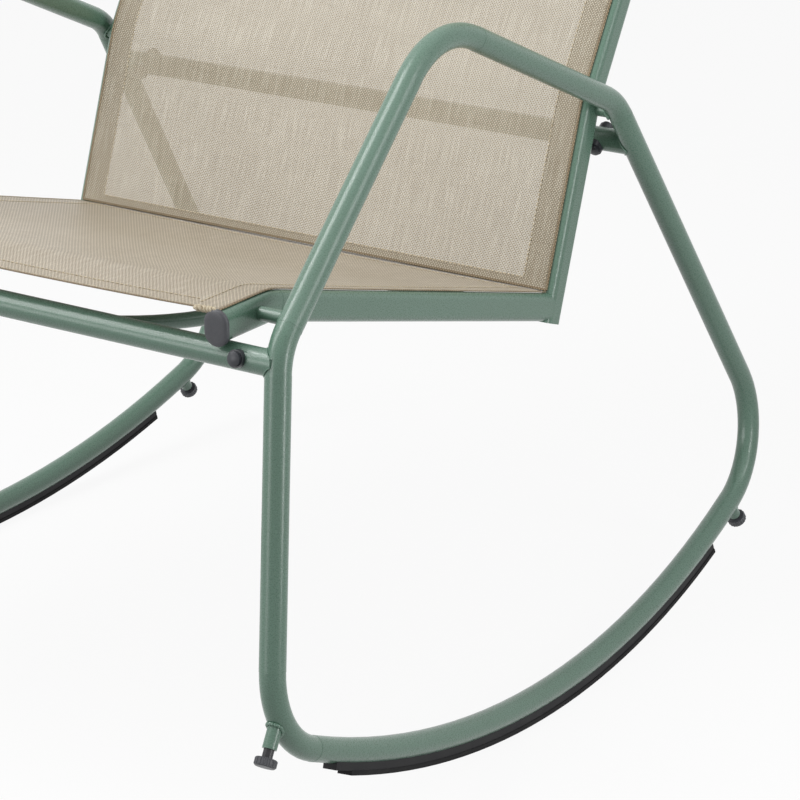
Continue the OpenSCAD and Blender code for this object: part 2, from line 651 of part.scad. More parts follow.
bush_bolt(-1, bush_b);  // rear_bush_bolt_left
carrier(1);  // carrier_right
carrier(-1);  // carrier_left
tread(1);  // tread_right
tread(-1);  // tread_left
sleeve(1, adj_f, adj_fv, sleeve_front);  // front_sleeve_right
sleeve(-1, adj_f, adj_fv, sleeve_front);  // front_sleeve_left
sleeve(1, adj_r, adj_rv, sleeve_rear);  // rear_sleeve_right
sleeve(-1, adj_r, adj_rv, sleeve_rear);  // rear_sleeve_left
stud(1, adj_f, adj_fv, sleeve_front, neck_front, grip_front);  // front_stud_right
stud(-1, adj_f, adj_fv, sleeve_front, neck_front, grip_front);  // front_stud_left
stud(1, adj_r, adj_rv, sleeve_rear, neck_rear, grip_rear);  // rear_stud_right
stud(-1, adj_r, adj_rv, sleeve_rear, neck_rear, grip_rear);  // rear_stud_left
knob(1, adj_f, adj_fv, sleeve_front, neck_front);  // front_knob_right
knob(-1, adj_f, adj_fv, sleeve_front, neck_front);  // front_knob_left
knob(1, adj_r, adj_rv, sleeve_rear, neck_rear);  // rear_knob_right
knob(-1, adj_r, adj_rv, sleeve_rear, neck_rear);  // rear_knob_left
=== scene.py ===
"""Looks of the rocking armchair: sling cloth, seams, welds, caps, paint and light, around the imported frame."""
import json
import math
import random

import bmesh
import bpy
from mathutils import Matrix, Vector
from mathutils.bvhtree import BVHTree


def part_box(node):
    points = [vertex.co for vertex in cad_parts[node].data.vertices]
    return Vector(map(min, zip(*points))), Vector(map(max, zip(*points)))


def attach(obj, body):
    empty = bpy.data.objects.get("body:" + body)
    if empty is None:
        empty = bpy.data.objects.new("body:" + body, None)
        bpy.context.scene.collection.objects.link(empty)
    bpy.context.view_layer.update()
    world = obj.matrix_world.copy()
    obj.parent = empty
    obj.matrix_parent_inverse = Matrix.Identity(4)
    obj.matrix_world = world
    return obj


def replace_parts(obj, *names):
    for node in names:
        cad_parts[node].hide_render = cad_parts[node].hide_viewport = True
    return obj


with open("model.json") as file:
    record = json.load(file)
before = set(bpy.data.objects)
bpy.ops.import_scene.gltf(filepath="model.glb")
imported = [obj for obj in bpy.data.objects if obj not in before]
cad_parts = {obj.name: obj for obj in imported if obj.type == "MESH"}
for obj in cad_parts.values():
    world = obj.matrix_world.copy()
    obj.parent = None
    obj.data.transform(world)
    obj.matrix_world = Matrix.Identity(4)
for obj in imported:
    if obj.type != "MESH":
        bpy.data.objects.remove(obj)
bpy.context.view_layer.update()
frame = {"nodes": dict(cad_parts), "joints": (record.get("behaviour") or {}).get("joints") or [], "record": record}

BODY = "chair"
NODES = frame["nodes"]
MM = 0.001
rnd = random.Random(4)

# Camera

cam = bpy.data.objects.new("camera", bpy.data.cameras.new("camera"))
bpy.context.scene.collection.objects.link(cam)
bpy.context.scene.camera = cam
RIGHT = Vector((0.82936, 0.55870, -0.00226))
UP = Vector((-0.18773, 0.28247, 0.94073))
BACK = Vector((0.52623, -0.77978, 0.33915))
turn = Matrix((RIGHT, UP, BACK)).transposed().to_4x4()
cam.matrix_world = Matrix.Translation((1.51697, -2.01649, 1.10586)) @ turn
cam.data.sensor_width = 36.0
cam.data.lens = 137.95
cam.data.clip_start, cam.data.clip_end = 0.1, 60.0

# Measures of the part, in mm

RAIL_X, RAIL_H, RAIL_T = 250.03, 24.0, 14.0
GAP = 0.1  # clearance between cloth and rail
CLOTH_H = 0.9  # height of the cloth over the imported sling's underside
SEAT_P0, SEAT_V = Vector((-370.6, 413.75)), Vector((-309.6, 413.75))
JOINT, BACK_V, BACK_P1 = Vector((87.6, 304.34)), Vector((145.1, 470.7)), Vector((387.2, 873.5))
SEAT_DIR = (JOINT - SEAT_V).normalized()
LOW_DIR = (BACK_V - JOINT).normalized()
HIGH_DIR = (BACK_P1 - BACK_V).normalized()


def left_of(v):
    return Vector((-v.y, v.x))


class Path:
    """Two straight runs, p to v to q, with a bend of radius r at v, measured along their length.

    The cloth over it sags by sag in the middle, and by the shares start and end of that at its ends.
    """

    def __init__(self, p, v, q, r, sag, start, end):
        self.a, self.b = (v - p).normalized(), (q - v).normalized()
        angle = math.acos(self.a @ self.b)
        self.s = 1 if self.a.x * self.b.y - self.a.y * self.b.x > 0 else -1
        t = r * math.tan(angle / 2)
        self.p, self.t0, self.t1, self.r = p, v - t * self.a, v + t * self.b, r
        self.centre = self.t0 + self.s * r * left_of(self.a)
        self.l1 = (self.t0 - p).length
        self.l2 = self.l1 + r * angle
        self.length = self.l2 + (q - self.t1).length
        self.sag, self.start, self.end = sag, start, end

    def at(self, d):
        """The place d along and the outward direction there."""
        if d <= self.l1:
            return self.p + self.a * d, left_of(self.a)
        if d <= self.l2:
            w = self.s * (d - self.l1) / self.r
            t = Vector((self.a.x * math.cos(w) - self.a.y * math.sin(w),
                        self.a.x * math.sin(w) + self.a.y * math.cos(w)))
            return self.centre - self.s * self.r * left_of(t), left_of(t)
        return self.t1 + self.b * (d - self.l2), left_of(self.b)

    def dip(self, x, d):
        """How far the cloth lies below the rails' crowns, x across and d along."""
        out = abs(x) - RAIL_X
        if out > 0:
            r = RAIL_T / 2 + GAP
            return r - math.sqrt(max(r * r - out * out, 1.0))
        t = min(max(d / self.length, 0), 1)
        e = self.start + (self.end - self.start) * t
        g = self.sag * (e + (1 - e) * math.sin(math.pi * t))
        u = abs(x) / RAIL_X
        return g * (1 - u * u) * (1 + 0.25 * u * u)

    def point(self, d, x, h=CLOTH_H):
        """The place d along, x across and h above the sling's underside, in metres."""
        p, n = self.at(d)
        q = p + n * (RAIL_H / 2 + GAP + h - self.dip(x, d))
        return Vector((x, q.x, q.y)) * MM

    def normal(self, d, x):
        a = self.point(d, x + 1) - self.point(d, x - 1)
        b = self.point(d + 1, x) - self.point(d - 1, x)
        return a.cross(b).normalized()


seat = Path(SEAT_P0 + Vector((0.3, 0)), SEAT_V, JOINT - 12.6 * SEAT_DIR, r=60, sag=9, start=0.45, end=0.1)
back = Path(JOINT + 14.7 * LOW_DIR, BACK_V, BACK_P1 - 8 * HIGH_DIR, r=90, sag=6, start=0.1, end=0.3)

# Node helpers


class Mat:
    """A material whose nodes are made by short calls."""

    def __init__(self, name):
        self.mat = bpy.data.materials.new(name)
        self.mat.use_nodes = True
        self.tree = self.mat.node_tree
        self.bsdf = self.tree.nodes["Principled BSDF"]

    def put(self, socket, value):
        s = self.bsdf.inputs[socket]
        if isinstance(value, bpy.types.NodeSocket):
            self.tree.links.new(value, s)
        else:
            s.default_value = value

    def node(self, kind, out=0, sets=(), **inputs):
        """Adds a node; an input called _0 is set by its number, any other by its name."""
        n = self.tree.nodes.new(kind)
        for k, v in sets:
            setattr(n, k, v)
        for k, v in inputs.items():
            s = n.inputs[int(k[1:])] if k[0] == "_" else n.inputs[k]
            if isinstance(v, bpy.types.NodeSocket):
                self.tree.links.new(v, s)
            else:
                s.default_value = v
        return n.outputs[out]

    def math(self, op, a, b=0.0):
        return self.node("ShaderNodeMath", sets=[("operation", op)], _0=a, _1=b)

    def noise(self, coords, scale, detail=2.0, rough=0.5):
        return self.node("ShaderNodeTexNoise", Vector=coords, Scale=scale, Detail=detail, Roughness=rough)

    def scaled(self, coords, x, y, z):
        return self.node("ShaderNodeMapping", Vector=coords, Scale=(x, y, z))

    def spread(self, value, low, high, to_low, to_high):
        n = self.tree.nodes.new("ShaderNodeMapRange")
        self.tree.links.new(value, n.inputs[0])
        for i, v in enumerate((low, high, to_low, to_high), 1):
            n.inputs[i].default_value = v
        return n.outputs[0]

    def blend(self, fac, a, b):
        """Mixes two colours; the node's sockets 0, 6 and 7 are its factor and the colours."""
        n = self.tree.nodes.new("ShaderNodeMix")
        n.data_type = "RGBA"
        for i, v in ((0, fac), (6, a), (7, b)):
            if isinstance(v, bpy.types.NodeSocket):
                self.tree.links.new(v, n.inputs[i])
            else:
                n.inputs[i].default_value = v
        return n.outputs[2]

    def bump(self, height, strength, distance, under=None):
        n = self.tree.nodes.new("ShaderNodeBump")
        n.inputs["Strength"].default_value = strength
        n.inputs["Distance"].default_value = distance
        self.tree.links.new(height, n.inputs["Height"])
        if under is not None:
            self.tree.links.new(under, n.inputs["Normal"])
        return n.outputs[0]

    def place(self):
        """The object's own coordinates, in metres."""
        return self.node("ShaderNodeTexCoord", out=3)


def rgb(r, g, b):
    """A colour given as 0 to 255, as seen on a screen, for a node."""
    def lin(c):
        c /= 255
        return c / 12.92 if c <= 0.04045 else ((c + 0.055) / 1.055) ** 2.4
    return (lin(r), lin(g), lin(b), 1.0)


# Materials


def powder_coat(name, tone=1.0, lumps=0.0):
    """Fine-grained paint; tone lightens it, lumps roughens it as over a weld."""
    m = Mat(name)
    deep, pale, drift = (rgb(*(c * tone for c in k)) for k in ((90, 121, 105), (107, 140, 122), (93, 122, 103)))
    where = m.place()
    grain = m.noise(where, 2000, 2.0, 0.6)
    specks = m.noise(where, 1000, 1.0, 0.5)
    clouds = m.noise(where, 9, 2.0)
    c = m.blend(m.spread(grain, 0.3, 0.7, 0, 1), deep, pale)
    m.put("Base Color", m.blend(m.spread(clouds, 0.3, 0.7, 0.0, 0.35), c, drift))
    m.put("Roughness", m.spread(specks, 0.35, 0.65, 0.22, 0.4))
    m.put("Specular IOR Level", 0.5)
    m.put("Coat Weight", 0.25)
    m.put("Coat Roughness", 0.16)
    n = m.bump(grain, 0.25, 0.0002)
    n = m.bump(specks, 0.25, 0.0003, n)
    if lumps:
        n = m.bump(m.noise(where, 420, 3.0, 0.6), lumps, 0.0006, n)
    m.put("Normal", n)
    return m.mat


def moulded(name, colour, rough, grain_scale, strength, wear=0.0):
    """Moulded plastic or rubber with a fine grain; wear is a share of pale dust."""
    m = Mat(name)
    where = m.place()
    grain = m.noise(where, grain_scale, 2.0, 0.6)
    soft = m.noise(where, 40, 2.0)
    light = tuple(min(1, c * 1.7 + 0.004) for c in colour[:3]) + (1.0,)
    c = m.blend(m.spread(soft, 0.35, 0.7, 0.0, 0.55), colour, light)
    c = m.blend(m.spread(grain, 0.35, 0.75, 0.0, 0.35), c, light)
    if wear:
        dust = m.noise(m.scaled(where, 1, 0.12, 1), 240, 3.0)
        c = m.blend(m.spread(dust, 0.56, 0.8, 0.0, wear), c, rgb(92, 90, 88))
    m.put("Base Color", c)
    m.put("Roughness", m.spread(soft, 0.3, 0.7, rough - 0.05, rough + 0.08))
    m.put("Specular IOR Level", 0.45 if rough < 0.48 else 0.2)
    m.put("Normal", m.bump(grain, strength, 0.0002))
    return m.mat


def plated(name, colour, rough):
    """Plated steel, faintly brushed and spotted."""
    m = Mat(name)
    dull = tuple(c * 0.7 for c in colour[:3]) + (1.0,)
    where = m.place()
    brushed = m.noise(m.scaled(where, 1, 12, 1), 500, 2.0)
    spots = m.noise(where, 90, 3.0)
    m.put("Base Color", m.blend(m.spread(spots, 0.3, 0.75, 0.0, 0.5), colour, dull))
    m.put("Metallic", 1.0)
    m.put("Roughness", m.spread(brushed, 0.3, 0.7, rough - 0.08, rough + 0.1))
    m.put("Normal", m.bump(brushed, 0.15, 0.0001))
    return m.mat


def woven(name, light, dark, hole, open_at, streaks=1.0, contrast=0.7, ribs=False, warp=0.0013):
    """Coated yarn woven two ways: raised crossings, small gaps between them and slubs along the warp; the gaps
    carry painted shade and the lower crossings are darker, partly in tone and partly as painted shade.

    hole is how clear the gaps are and open_at how much of each stays shut; contrast is how much darker the lower
    crossings are; ribs adds painted shade in the grooves between the warp yarns and a slanted twill line.
    """
    weft, twill = 0.0015, 0.0025
    m = Mat(name)
    uv = m.node("ShaderNodeUVMap", sets=[("uv_map", "cut")])
    wob = m.noise(uv, 70, 1.0)
    xyz = m.tree.nodes.new("ShaderNodeSeparateXYZ")
    m.tree.links.new(uv, xyz.inputs[0])
    u = m.math("ADD", xyz.outputs[0], m.math("MULTIPLY", m.math("SUBTRACT", wob, 0.5), 0.0005))
    x = m.math("MULTIPLY", u, math.pi / warp)
    y = m.math("MULTIPLY", xyz.outputs[1], math.pi / weft)
    sx, sy = m.math("SINE", x), m.math("SINE", y)
    ax, ay = m.math("ABSOLUTE", sx), m.math("ABSOLUTE", sy)
    over = m.math("MULTIPLY", sx, sy)
    gap = m.math("MULTIPLY", m.math("SUBTRACT", 1.0, ax), m.math("SUBTRACT", 1.0, ay))
    slub = m.noise(m.scaled(uv, 620, 26, 1), 1.0, 3.0, 0.7)
    pick = m.noise(m.scaled(uv, 24, 500, 1), 1.0, 2.0, 0.6)
    cloud = m.noise(uv, 9, 2.0)
    # painted shade: the gaps between the yarns are darkened towards the dark colour
    c = m.blend(m.spread(gap, 0.04, 0.36, 0.0, 0.95), light, dark)
    # the lower crossings are darker: partly warp and weft tone, partly painted shade
    c = m.blend(m.spread(over, -0.55, 0.55, contrast, 0.0), c, dark)
    if ribs:
        # painted shade in the grooves between the warp yarns
        c = m.blend(m.spread(ax, 0.0, 0.75, 0.7, 0.0), c, dark)
        slant = m.math("ADD", m.math("MULTIPLY", u, 0.78), m.math("MULTIPLY", xyz.outputs[1], 0.626))
        line = m.math("SINE", m.math("MULTIPLY", slant, 2 * math.pi / twill))
        c = m.blend(m.spread(line, -0.8, 0.8, 0.6, 0.0), c, dark)
    c = m.blend(m.spread(slub, 0.42, 0.72, 0.0, 0.30 * streaks), c, dark)
    c = m.blend(m.spread(slub, 0.48, 0.26, 0.0, 0.38 * streaks), c, rgb(228, 221, 205))
    c = m.blend(m.spread(pick, 0.52, 0.75, 0.0, 0.18 * streaks), c, dark)
    c = m.blend(m.spread(cloud, 0.35, 0.7, 0.0, 0.12), c, dark)
    m.put("Base Color", c)
    m.put("Roughness", m.spread(slub, 0.3, 0.7, *((0.42, 0.52) if ribs else (0.55, 0.68))))
    m.put("Specular IOR Level", 1.0 if ribs else 0.35)
    m.put("Sheen Weight", 0.08)
    height = m.math("ADD", m.math("MULTIPLY", ax, 0.6), m.math("MULTIPLY", over, 0.4))
    m.put("Normal", m.bump(height, 0.35, 0.0004))
    if hole:
        m.put("Alpha", m.math("SUBTRACT", 1.0, m.spread(gap, open_at, open_at + 0.12, 0.0, hole)))
    return m.mat


GREEN = powder_coat("powder_coat")
WELDED = powder_coat("powder_coat_on_weld", 1.07, 0.5)
BLACK = moulded("moulded_black", rgb(70, 71, 75), rough=0.42, grain_scale=900, strength=0.25)
# the caps are the same plastic as the plugs, made darker here: painted shade
CAPS_SHADED = moulded("moulded_cap", rgb(47, 49, 54), rough=0.34, grain_scale=900, strength=0.2)
CARRIER = moulded("moulded_strip", rgb(20, 20, 22), rough=0.5, grain_scale=900, strength=0.2)
RUBBER = moulded("ribbed_rubber", rgb(15, 15, 16), rough=0.7, grain_scale=700, strength=0.5, wear=0.18)
SCREW = moulded("black_steel_screw", rgb(34, 34, 37), rough=0.36, grain_scale=1200, strength=0.2)
ZINC = plated("zinc_plated", (0.60, 0.60, 0.62, 1.0), rough=0.34)
# YARN_D is the yarn's darker tone and also the colour of the painted shade in the weave's gaps, crossings and
# grooves
YARN_L, YARN_D = rgb(217, 210, 192), rgb(119, 101, 74)
MESH_BACK = woven("sling_mesh_back", YARN_L, YARN_D, hole=1.0, open_at=0.28)
MESH_SEAT = woven("sling_mesh_seat", rgb(225, 215, 195), YARN_D, hole=0.12, open_at=0.3, streaks=0.8,
                  contrast=0.3, ribs=True, warp=0.00101)
# the hems, the pocket and the imported mesh parts get a darker copy of the same yarn: painted shade of the doubled
# cloth
MESH_HEM_SHADED = woven("sling_mesh_hem_painted_shade", rgb(172, 156, 128), rgb(92, 74, 50), hole=0.0, open_at=0.2, streaks=0.6)
thread = Mat("stitching_thread")
fibre = thread.spread(thread.noise(thread.place(), 1400, 1.0), 0.35, 0.65, 0, 1)
thread.put("Base Color", thread.blend(fibre, rgb(184, 169, 140), rgb(226, 214, 190)))
thread.put("Roughness", thread.spread(thread.noise(thread.place(), 600, 1.0), 0.3, 0.7, 0.6, 0.75))
THREAD = thread.mat

BY_SLOT = {"frame_paint": GREEN, "plastic": BLACK, "rubber": RUBBER, "black_steel": SCREW, "steel": ZINC,
           "mesh": MESH_HEM_SHADED}
for sub in frame["record"]["subparts"]:
    node = sub["node"]
    look = BY_SLOT[sub["material_slot"]]
    if node.startswith("carrier"):
        look = CARRIER
    elif "_cap_" in node:
        look = CAPS_SHADED
    for s in NODES[node].material_slots:
        s.material = look

# Mesh helpers


def piece(name, bm, mat):
    """Turns a bmesh into a smooth piece that rides on the chair."""
    mesh = bpy.data.meshes.new(name)
    for f in bm.faces:
        f.smooth = True
    bm.to_mesh(mesh)
    bm.free()
    o = bpy.data.objects.new(name, mesh)
    bpy.context.scene.collection.objects.link(o)
    mesh.materials.append(mat)
    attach(o, BODY)
    return o


def grid(bm, rows, cuts=None, closed=False):
    """Faces over rows of points; cuts holds each point's place on the flat cloth."""
    layers = bm.loops.layers.uv
    uv = layers.verify() if cuts is None else layers.get("cut") or layers.new("cut")
    vs = [[bm.verts.new(p) for p in row] for row in rows]
    m = len(rows[0])
    for i in range(len(rows) - 1):
        for j in range(m if closed else m - 1):
            k = (j + 1) % m
            f = bm.faces.new((vs[i][j], vs[i][k], vs[i + 1][k], vs[i + 1][j]))
            if cuts is not None:
                for loop, (a, b) in zip(f.loops, ((i, j), (i, k), (i + 1, k), (i + 1, j))):
                    loop[uv].uv = cuts[a][b]
    return vs


def spans(a, b, step):
    """Even places from a to b, about a step apart."""
    n = max(1, round(abs(b - a) / step))
    return [a + (b - a) * i / n for i in range(n + 1)]


def turns(n):
    return [2 * math.pi * k / n for k in range(n)]


def ring(p, a, b, r, n=8, squash=1.0):
    """n points round p in the plane of a and b."""
    return [p + a * (r * math.cos(w)) + b * (r * squash * math.sin(w)) for w in turns(n)]


def cap_ends(bm, vs):
    bm.faces.new(list(reversed(vs[0])))
    bm.faces.new(vs[-1])


def tube(bm, line, radius, n=8):
    """A round bead along a line."""
    rows = []
    last = len(line) - 1
    prev = None
    for i, p in enumerate(line):
        t = (line[min(i + 1, last)] - line[max(i - 1, 0)]).normalized()
        a = (prev - t * (prev @ t)).normalized() if prev is not None else t.orthogonal().normalized()
        prev = a
        rows.append(ring(p, a, t.cross(a), radius, n))
    cap_ends(bm, grid(bm, rows, closed=True))


# Sling cloths

EDGE = RAIL_X + 0.9  # the cloth ends on the crown of the rails, whose outer rounding stays in sight
SLIT = RAIL_X - RAIL_T / 2 - 1.5
BETWEEN = spans(-SLIT, SLIT, 8.5)
ACROSS = spans(-EDGE, -SLIT, 8.5)[:-1] + BETWEEN + spans(SLIT, EDGE, 8.5)[1:]


def sling(name, path, mat, node, first=0.0, more=0.0):
    """A single layer of cloth from first on; its end runs on by more, between the rails only."""
    bm = bmesh.new()
    parts = [(spans(first, path.length, 6), ACROSS)]
    if more:
        parts.append((spans(path.length, path.length + more, 3), BETWEEN))
    for along, across in parts:
        rows = [[path.point(d, x) for x in across] for d in along]
        grid(bm, rows, [[(x * MM, d * MM) for x in across] for d in along])
    bmesh.ops.remove_doubles(bm, verts=bm.verts, dist=0.01 * MM)
    o = piece(name, bm, mat)
    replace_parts(o, node)
    return o


def side_hem(bm, path, side, inner, d0, d1):
    """The cloth's doubled edge: a layer under the sling that folds up round its outer edge."""
    over = [(inner, 0.48), (inner + 4, 0.3), (240, 0.26), (EDGE - 1.5, 0.26), (EDGE + 0.1, 0.4),
            (EDGE + 0.35, 0.75), (EDGE + 0.2, 1.15), (EDGE - 0.9, 1.28), (EDGE - 2.0, 1.08)]
    rows, cuts = [], []
    for d in spans(d0, d1, 5):
        rows.append([path.point(d, side * min(x, EDGE), h) + Vector((side * max(0, x - EDGE) * MM, 0, 0))
                     for x, h in over])
        cuts.append([(side * (x + 0.6) * MM, d * MM) for x, h in over])
    if side < 0:
        rows, cuts = [r[::-1] for r in rows], [c[::-1] for c in cuts]
    grid(bm, rows, cuts)


def end_hem(bm, path, at_start, depth, more=0.0, x1=EDGE - 0.6):
    """The doubled edge at an end of the cloth, folded round it, as far as x1 on both sides."""
    sign, base = (1, -more) if at_start else (-1, path.length + more)
    over = [(depth, 0.5), (depth - 3, 0.36), (depth / 2, 0.34), (1.4, 0.34), (0.2, 0.34), (-0.45, 0.5),
            (-0.65, 0.85), (-0.45, 1.22), (0.3, 1.38), (1.6, 1.12)]
    xs = spans(-x1, x1, 8)
    rows = [[path.point(base + sign * d, x, h) for x in xs] for d, h in over]
    cuts = [[(x * MM, (base + sign * (d + 0.5)) * MM) for x in xs] for d, h in over]
    if at_start:
        rows, cuts = rows[::-1], cuts[::-1]
    grid(bm, rows, cuts)


TUCK, UNDER = 1.4, 9.0  # the back hangs to just above the seat, which runs on under its edge
seat_cloth = sling("seat_cloth", seat, MESH_SEAT, "seat_sling", more=UNDER)
back_cloth = sling("back_cloth", back, MESH_BACK, "back_sling", first=-TUCK)

HEM = 227.0
bm = bmesh.new()
for side in (1, -1):
    side_hem(bm, seat, side, HEM, 0.5, seat.length - 0.5)
end_hem(bm, seat, at_start=True, depth=18)
end_hem(bm, seat, at_start=False, depth=12, more=UNDER, x1=SLIT)
seat_hems = piece("seat_hems", bm, MESH_HEM_SHADED)
bm = bmesh.new()
for side in (1, -1):
    side_hem(bm, back, side, HEM, 0.5 - TUCK, back.length - 0.5)
end_hem(bm, back, at_start=True, depth=7.5, more=TUCK)
back_hems = piece("back_hems", bm, MESH_HEM_SHADED)

# Pocket round the top tube: over it and down behind, sewn to the back below it
bm = bmesh.new()
pocket = [(-3, 12.9), (0.2, 11.6), (1.4, 8.5), (1.3, 4), (-0.6, -2), (-3.6, -6.6), (-8, -9.1), (-13, -8.2),
          (-20, -4), (-30, 2.5), (-42, 9.2), (-50, 11.8)]
xs = spans(-RAIL_X + 9, RAIL_X - 9, 8)
rows, cuts = [], []
for i, (d, o) in enumerate(pocket):
    p, n = back.at(back.length + d)
    rows.append([Vector((x, *(p + n * (o - back.dip(x, back.length + d) * max(0, o / 13))))) * MM
                 for x in xs])
    cuts.append([(x * MM, (back.length + 6.3 * i) * MM) for x in xs])
grid(bm, rows, cuts)
back_pocket = piece("back_pocket", bm, MESH_HEM_SHADED)

# Stitching


def stitches(bm, path, places, length=2.8, pitch=4.2, r=0.56, h=1.15):
    """Short raised threads along a line of (d, x) places.

    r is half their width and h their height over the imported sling's underside.
    """
    pts = [path.point(d, x, h) for d, x in places]
    total = [0.0]
    for a, b in zip(pts, pts[1:]):
        total.append(total[-1] + (b - a).length / MM)
    s, k = 1.0, 0
    while s < total[-1] - length:
        while total[k + 1] < s + length / 2:
            k += 1
        f = (s + length / 2 - total[k]) / max(total[k + 1] - total[k], 1e-6)
        c = pts[k].lerp(pts[k + 1], f)
        d, x = (places[k][i] + (places[k + 1][i] - places[k][i]) * f for i in (0, 1))
        n = path.normal(d, x)
        t = (pts[k + 1] - pts[k]).normalized()
        b = n.cross(t).normalized()
        swing = b * (rnd.uniform(-0.12, 0.12) * MM)
        rows = []
        for e, q in ((-0.5, 0.25), (-0.38, 0.85), (0, 1.0), (0.38, 0.85), (0.5, 0.25)):
            at = c + t * (e * length * MM) + swing * (e * 2) + n * (0.18 * q * MM)
            rows.append(ring(at, b, n, r * q * MM, 6, 0.75))
        cap_ends(bm, grid(bm, rows, closed=True))
        s += pitch + rnd.uniform(-0.25, 0.25)


SMALL = (2.2, 3.2, 0.3)  # length, pitch and half width of the threads near the rails
SEAM = spans(-224, 224, 8)

bm = bmesh.new()
for side in (1, -1):
    stitches(bm, seat, [(d, side * (HEM - 0.5)) for d in spans(10, seat.length - 4, 8)])
    stitches(bm, seat, [(d, side * (EDGE - 3.2)) for d in spans(3, seat.length - 3, 8)], *SMALL)
stitches(bm, seat, [(17, x) for x in SEAM])
stitches(bm, seat, [(1.6, x) for x in spans(-248, 248, 8)], length=1.6, pitch=2.4, r=0.34, h=1.35)
stitches(bm, seat, [(seat.length - 11, x) for x in SEAM])
seat_stitching = piece("seat_stitching", bm, THREAD)
bm = bmesh.new()
for side in (1, -1):
    stitches(bm, back, [(d, side * (HEM - 0.5)) for d in spans(6, back.length - 30, 8)])
    stitches(bm, back, [(d, side * (EDGE - 3.2)) for d in spans(3, back.length - 3, 8)], *SMALL)
stitches(bm, back, [(6.2, x) for x in spans(-226, 226, 8)])
for down in (46, 49.5):
    stitches(bm, back, [(back.length - down, x) for x in SEAM])
back_stitching = piece("back_stitching", bm, THREAD)

# Twisted yarn roll on each front corner, where the seat's two hems are sewn together
STEPS, WRAPS = 72, 3
bm = bmesh.new()
for side in (1, -1):
    for phase in range(2):
        line = []
        for i in range(STEPS + 1):
            t = i / STEPS
            a = 2 * math.pi * (t * WRAPS + 0.12 * math.sin(9 * t) + phase / 2)
            w = 1.5 * min(1, 5 * t + 0.1, 5 * (1 - t) + 0.3)
            p = seat.point(0.0, side * (230 + 20 * t), 0.8) + Vector((0, -1.3, -0.1)) * MM
            line.append(p + Vector((0, math.cos(a) * w, math.sin(a) * w)) * MM)
        tube(bm, line, 1.35 * MM, 8)
corner_rolls = piece("corner_rolls", bm, THREAD)

# Oval end plugs

# Height over the rail's end and inset of the outline there
PLUG = [(0, 0.25), (0.3, 0.0), (2.0, 0.0), (2.9, 0.25), (3.5, 0.75), (3.95, 1.6), (4.2, 2.8), (4.32, 4.6),
        (4.38, 6.4), (4.4, 8.0)]


def plug(name, base, out, side, node, wide=4):
    """An oval plug with a rounded rim on the end of a rail, wider than the rail by wide."""
    up = left_of(out)
    o3, u3, x3 = Vector((0, out.x, out.y)), Vector((0, up.x, up.y)), Vector((1, 0, 0))
    c = Vector((side * RAIL_X, base.x, base.y))
    r = (RAIL_T + wide) / 2
    straight = (RAIL_H + 4) / 2 - r
    rows = []
    for height, inset in PLUG:
        q = r - inset
        rows.append([(c + o3 * height + x3 * (q * math.cos(a))
                      + u3 * (q * math.sin(a) + straight * (1 if math.sin(a) >= 0 else -1))) * MM
                     for a in turns(48)])
    bm = bmesh.new()
    cap_ends(bm, grid(bm, rows, closed=True))
    bmesh.ops.recalc_face_normals(bm, faces=bm.faces)
    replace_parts(piece(name, bm, BLACK), node)


for side, word in ((1, "right"), (-1, "left")):
    plug(f"seat_end_cap_{word}", SEAT_P0, Vector((-1, 0)), side, f"seat_plug_{word}", wide=7)
    plug(f"back_end_cap_{word}", BACK_P1, HIGH_DIR, side, f"back_plug_{word}")

# Weld beads


def tree_of(node):
    o = NODES[node]
    return BVHTree.FromPolygons([o.matrix_world @ v.co for v in o.data.vertices],
                                [p.vertices[:] for p in o.data.polygons])


BEAD_STEP, RIPPLE = 0.55, 2.3
REACH = 0.06  # how far along the tube a bead looks for the surface, in metres


def weld(bm, centre, v, r, target, bead):
    """A rippled bead round a small tube of radius r, where it runs along v into the target's surface."""
    v = v.normalized()
    a = v.orthogonal().normalized()
    b = v.cross(a)
    n = max(48, round(2 * math.pi * r / BEAD_STEP))
    ripples = max(9, round(2 * math.pi * r / RIPPLE))
    line, last = [], None
    for k in range(n):
        w = 2 * math.pi * k / n
        out = a * math.cos(w) + b * math.sin(w)
        hit = target.ray_cast(centre + out * ((r - 0.35) * MM), v, REACH)[0]
        last = hit if hit is not None else last
        if last is None:
            return
        wave = abs(math.sin(w * ripples / 2 + 0.7 * math.sin(3 * w)))
        thick = bead * (0.72 + 0.42 * wave + rnd.uniform(-0.06, 0.06))
        line.append((last + out * ((0.35 + 0.4 * bead) * MM), out, thick))
    rows = [ring(p - v * (0.15 * q * MM), out, -v, q * MM, 8) for p, out, q in line]
    rows.append(rows[0])
    grid(bm, rows, closed=True)


def mid(node):
    lo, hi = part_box(node)
    return (Vector(lo) + Vector(hi)) / 2


def inner_end(node, side, inset):
    """The x just inside that end of a node which is nearer to the middle of the chair."""
    lo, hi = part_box(node)
    return (lo[0] if side > 0 else hi[0]) + side * inset


def bowed_end(node, side, r, half_slope):
    """Where the end of a tube that bows down between the rails lies, and which way it points there."""
    lo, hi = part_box(node)
    bow = hi[2] - lo[2] - 2 * r * MM * math.cos(math.radians(half_slope))
    slope = 2 * math.atan(bow / hi[0])
    along = Vector((side * math.cos(slope), 0, math.sin(slope)))
    return Vector((side * hi[0], mid(node).y, lo[2] + r * MM + bow)), along


CROSSBAR_R, BUSH_R, SLEEVE_R, SPREADER_R, TOP_R = 10, 5.5, 5.5, 6, 8
BUSH_BEAD = {"front": 1.75, "rear": 1.3}
SLEEVE_BEAD = {"front": 1.4, "rear": 0.9}
STUB_BEAD, RAIL_BEAD = 0.8, 1.1
NEAR_RAIL = 0.235  # x from which the beads at the rails are sought, in metres
HALF_SLOPE = 11.4  # about half the front spreader's slope at its ends, in degrees

